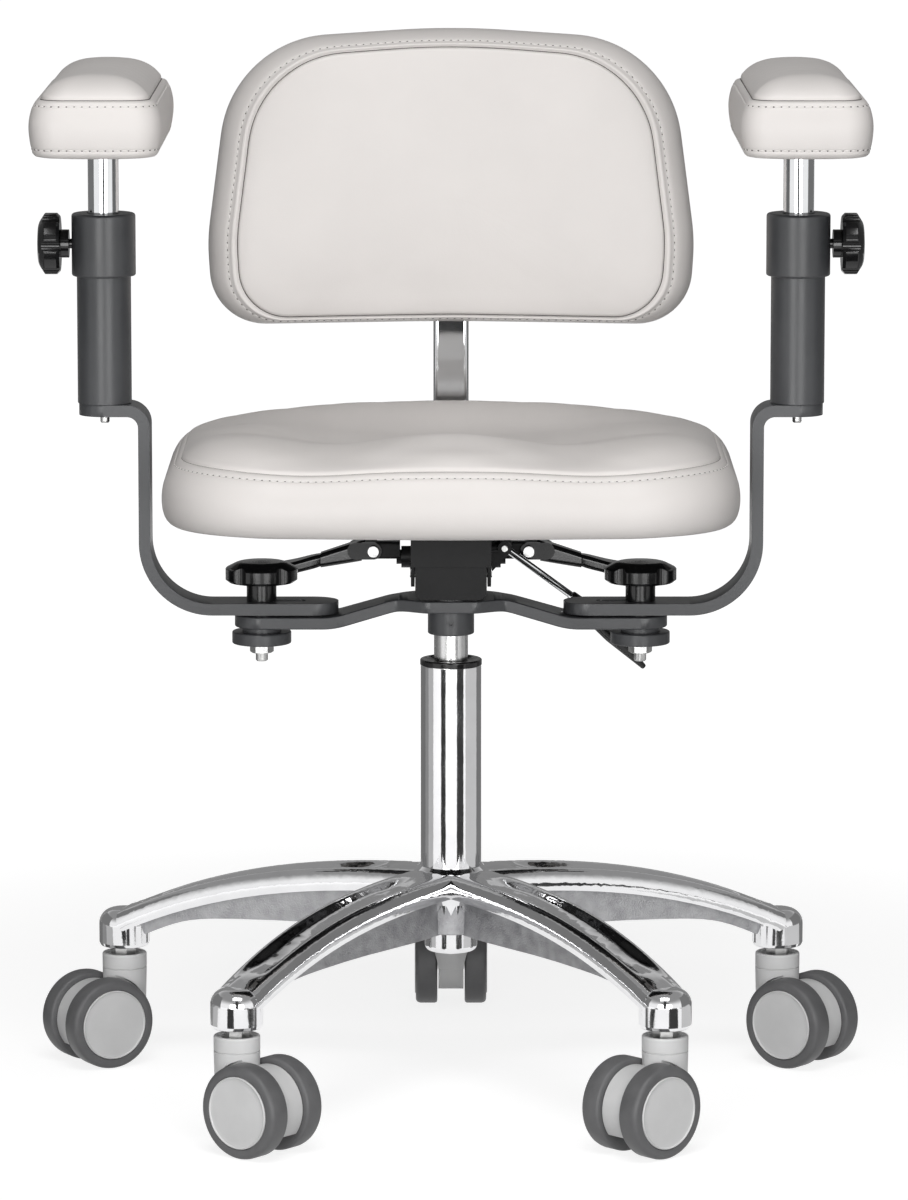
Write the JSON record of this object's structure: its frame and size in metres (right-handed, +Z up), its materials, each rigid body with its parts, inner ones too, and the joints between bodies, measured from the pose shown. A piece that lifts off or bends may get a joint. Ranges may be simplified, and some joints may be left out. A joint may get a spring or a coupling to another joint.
{
  "type": "microscope chair",
  "caption": "Upholstered chair on a star base with casters, gas-lift column, bent arm bars carrying height-adjustable padded arm supports, tilting seat and backrest.",
  "frame": {"origin": "floor point under the column axis", "axes": "+Z up, the sitter faces -Y, +X to the left hand of the sitter"},
  "size_m": [0.6837, 0.6486, 0.8576],
  "materials": {
    "leatherette": "fine grain, satin",
    "polished_aluminium": "polished",
    "chrome": "mirror",
    "dark_powder_coat": "fine texture",
    "black_steel": "satin",
    "black_plastic": "gloss",
    "zinc_steel": "zinc plated",
    "grey_plastic": "satin",
    "grey_tread": "soft matt",
    "plywood": "plain"
  },
  "bodies": {
    "base": {"star_base": "polished_aluminium", "column_tube": "chrome", "column_bushing": "black_plastic", "caster_stems": "zinc_steel"},
    "lift_rod": {"piston_rod": "chrome", "thrust_bearing": "zinc_steel"},
    "chassis": {"pressure_tube": "chrome", "clamp_collar": "black_steel", "arm_bracket": "black_steel", "clamp_discs": "black_steel", "hinge_bolts": "zinc_steel", "mechanism_housing": "black_steel", "pivot_pins": "zinc_steel", "lever_shaft": "zinc_steel"},
    "release": {"release_pin": "zinc_steel"},
    "height_lever": {"height_hub": "black_steel", "height_rod": "chrome", "height_grip": "black_plastic"},
    "left_lever": {"left_lever": "black_plastic"},
    "right_lever": {"right_lever": "black_plastic"},
    "seat": {"seat_carrier": "black_steel", "seat_board": "plywood", "seat_cushion": "leatherette"},
    "back_arm": {"back_knuckle": "black_steel", "back_bar": "chrome"},
    "backrest": {"back_slider": "black_steel", "back_board": "plywood", "back_cushion": "leatherette"},
    "back_knob": {"back_knob": "black_plastic"},
    "arm_hinge_left": {"pivot_washer_left": "black_plastic"},
    "arm_left": {"arm_bar_left": "dark_powder_coat", "post_left": "dark_powder_coat"},
    "star_knob_left": {"star_knob_left": "black_plastic"},
    "clamp_knob_left": {"clamp_knob_left": "black_plastic"},
    "pad_rod_left": {"pad_rod_left": "chrome"},
    "pad_left": {"pad_plate_left": "dark_powder_coat", "arm_pad_left": "leatherette"},
    "arm_hinge_right": {"pivot_washer_right": "black_plastic"},
    "arm_right": {"arm_bar_right": "dark_powder_coat", "post_right": "dark_powder_coat"},
    "star_knob_right": {"star_knob_right": "black_plastic"},
    "clamp_knob_right": {"clamp_knob_right": "black_plastic"},
    "pad_rod_right": {"pad_rod_right": "chrome"},
    "pad_right": {"pad_plate_right": "dark_powder_coat", "arm_pad_right": "leatherette"},
    "caster1": {"caster1_housing": "grey_plastic"},
    "caster1_wheel_left": {"caster1_wheel_left": "grey_plastic"},
    "caster1_wheel_right": {"caster1_wheel_right": "grey_plastic"},
    "caster2": {"caster2_housing": "grey_plastic"},
    "caster2_wheel_left": {"caster2_wheel_left": "grey_plastic"},
    "caster2_wheel_right": {"caster2_wheel_right": "grey_plastic"},
    "caster3": {"caster3_housing": "grey_plastic"},
    "caster3_wheel_left": {"caster3_wheel_left": "grey_plastic"},
    "caster3_wheel_right": {"caster3_wheel_right": "grey_plastic"},
    "caster4": {"caster4_housing": "grey_plastic"},
    "caster4_wheel_left": {"caster4_wheel_left": "grey_plastic"},
    "caster4_wheel_right": {"caster4_wheel_right": "grey_plastic"},
    "caster5": {"caster5_housing": "grey_plastic"},
    "caster5_wheel_left": {"caster5_wheel_left": "grey_plastic"},
    "caster5_wheel_right": {"caster5_wheel_right": "grey_plastic"}
  },
  "joints": [
    {"name": "seat_swivel", "type": "hinge", "parent": "base", "child": "lift_rod", "pos_m": [0, 0, 0.112], "axis": [0, 0, 1], "continuous": true},
    {"name": "seat_height", "type": "slide", "parent": "lift_rod", "child": "chassis", "axis": [0, 0, 1], "range_m": [0, 0.13]},
    {"name": "height_lever_lift", "type": "hinge", "parent": "chassis", "child": "height_lever", "pos_m": [0.044, 0.019, 0.4446], "axis": [0, -1, 0], "range_deg": [0, 2.6]},
    {"name": "release_press", "type": "slide", "parent": "chassis", "child": "release", "axis": [0, 0, 1], "range_m": [-0.0021, 0]},
    {"name": "left_lever_lift", "type": "hinge", "parent": "chassis", "child": "left_lever", "pos_m": [-0.064, 0.049, 0.4385], "axis": [0, 1, 0], "range_deg": [0, 12]},
    {"name": "right_lever_lift", "type": "hinge", "parent": "chassis", "child": "right_lever", "pos_m": [0.064, 0.049, 0.4385], "axis": [0, -1, 0], "range_deg": [0, 12]},
    {"name": "seat_tilt", "type": "hinge", "parent": "chassis", "child": "seat", "pos_m": [0, -0.026, 0.4325], "axis": [1, 0, 0], "range_deg": [-5, 4]},
    {"name": "back_tilt", "type": "hinge", "parent": "chassis", "child": "back_arm", "pos_m": [0, 0.092, 0.4325], "axis": [1, 0, 0], "range_deg": [-12, 2]},
    {"name": "back_height", "type": "slide", "parent": "back_arm", "child": "backrest", "axis": [0, 0, 1], "range_m": [0, 0.06]},
    {"name": "back_knob_turn", "type": "hinge", "parent": "backrest", "child": "back_knob", "pos_m": [0, 0.2503, 0.708], "axis": [0, 1, 0], "continuous": true},
    {"name": "arm_swivel_left", "type": "hinge", "parent": "chassis", "child": "arm_hinge_left", "pos_m": [-0.155, 0, 0.3941], "axis": [0, 0, 1], "range_deg": [-8, 8]},
    {"name": "arm_width_left", "type": "slide", "parent": "arm_hinge_left", "child": "arm_left", "axis": [-1, 0, 0], "range_m": [0, 0.03]},
    {"name": "star_knob_turn_left", "type": "hinge", "parent": "chassis", "child": "star_knob_left", "pos_m": [-0.155, 0, 0.4039], "axis": [0, 0, 1], "continuous": true},
    {"name": "clamp_knob_turn_left", "type": "hinge", "parent": "arm_left", "child": "clamp_knob_left", "pos_m": [-0.308, 0, 0.6966], "axis": [-1, 0, 0], "continuous": true},
    {"name": "pad_lift_left", "type": "slide", "parent": "arm_left", "child": "pad_rod_left", "axis": [0, 0, 1], "range_m": [-0.03, 0.05]},
    {"name": "pad_turn_left", "type": "hinge", "parent": "pad_rod_left", "child": "pad_left", "pos_m": [-0.282, 0, 0.7751], "axis": [0, 0, 1], "continuous": true},
    {"name": "arm_swivel_right", "type": "hinge", "parent": "chassis", "child": "arm_hinge_right", "pos_m": [0.155, 0, 0.3941], "axis": [0, 0, 1], "range_deg": [-8, 8]},
    {"name": "arm_width_right", "type": "slide", "parent": "arm_hinge_right", "child": "arm_right", "axis": [1, 0, 0], "range_m": [0, 0.03]},
    {"name": "star_knob_turn_right", "type": "hinge", "parent": "chassis", "child": "star_knob_right", "pos_m": [0.155, 0, 0.4039], "axis": [0, 0, 1], "continuous": true},
    {"name": "clamp_knob_turn_right", "type": "hinge", "parent": "arm_right", "child": "clamp_knob_right", "pos_m": [0.308, 0, 0.6966], "axis": [1, 0, 0], "continuous": true},
    {"name": "pad_lift_right", "type": "slide", "parent": "arm_right", "child": "pad_rod_right", "axis": [0, 0, 1], "range_m": [-0.03, 0.05]},
    {"name": "pad_turn_right", "type": "hinge", "parent": "pad_rod_right", "child": "pad_right", "pos_m": [0.282, 0, 0.7751], "axis": [0, 0, 1], "continuous": true},
    {"name": "caster1_swivel", "type": "hinge", "parent": "base", "child": "caster1", "pos_m": [-0.16928, -0.233, 0.092], "axis": [0, 0, 1], "continuous": true},
    {"name": "caster1_roll_left", "type": "hinge", "parent": "caster1", "child": "caster1_wheel_left", "pos_m": [-0.14902, -0.24929, 0.0375], "axis": [0.6266, 0.7793, 0], "continuous": true},
    {"name": "caster1_roll_right", "type": "hinge", "parent": "caster1", "child": "caster1_wheel_right", "pos_m": [-0.14902, -0.24929, 0.0375], "axis": [0.6266, 0.7793, 0], "continuous": true},
    {"name": "caster2_swivel", "type": "hinge", "parent": "base", "child": "caster2", "pos_m": [0.16928, -0.233, 0.092], "axis": [0, 0, 1], "continuous": true},
    {"name": "caster2_roll_left", "type": "hinge", "parent": "caster2", "child": "caster2_wheel_left", "pos_m": [0.15027, -0.25073, 0.0375], "axis": [0.682, -0.7314, 0], "continuous": true},
    {"name": "caster2_roll_right", "type": "hinge", "parent": "caster2", "child": "caster2_wheel_right", "pos_m": [0.15027, -0.25073, 0.0375], "axis": [0.682, -0.7314, 0], "continuous": true},
    {"name": "caster3_swivel", "type": "hinge", "parent": "base", "child": "caster3", "pos_m": [-0.2739, 0.089, 0.092], "axis": [0, 0, 1], "continuous": true},
    {"name": "caster3_roll_left", "type": "hinge", "parent": "caster3", "child": "caster3_wheel_left", "pos_m": [-0.29628, 0.07576, 0.0375], "axis": [0.509, -0.8607, 0], "continuous": true},
    {"name": "caster3_roll_right", "type": "hinge", "parent": "caster3", "child": "caster3_wheel_right", "pos_m": [-0.29628, 0.07576, 0.0375], "axis": [0.509, -0.8607, 0], "continuous": true},
    {"name": "caster4_swivel", "type": "hinge", "parent": "base", "child": "caster4", "pos_m": [0.2739, 0.089, 0.092], "axis": [0, 0, 1], "continuous": true},
    {"name": "caster4_roll_left", "type": "hinge", "parent": "caster4", "child": "caster4_wheel_left", "pos_m": [0.29419, 0.07274, 0.0375], "axis": [0.6252, 0.7804, 0], "continuous": true},
    {"name": "caster4_roll_right", "type": "hinge", "parent": "caster4", "child": "caster4_wheel_right", "pos_m": [0.29419, 0.07274, 0.0375], "axis": [0.6252, 0.7804, 0], "continuous": true},
    {"name": "caster5_swivel", "type": "hinge", "parent": "base", "child": "caster5", "pos_m": [0, 0.288, 0.092], "axis": [0, 0, 1], "continuous": true},
    {"name": "caster5_roll_left", "type": "hinge", "parent": "caster5", "child": "caster5_wheel_left", "pos_m": [0, 0.314, 0.0375], "axis": [-1, 0, 0], "continuous": true},
    {"name": "caster5_roll_right", "type": "hinge", "parent": "caster5", "child": "caster5_wheel_right", "pos_m": [0, 0.314, 0.0375], "axis": [-1, 0, 0], "continuous": true}
  ],
  "couplings": [
    {"joint": "release_press", "follows": "height_lever_lift", "m_per_rad": -0.044}
  ]
}
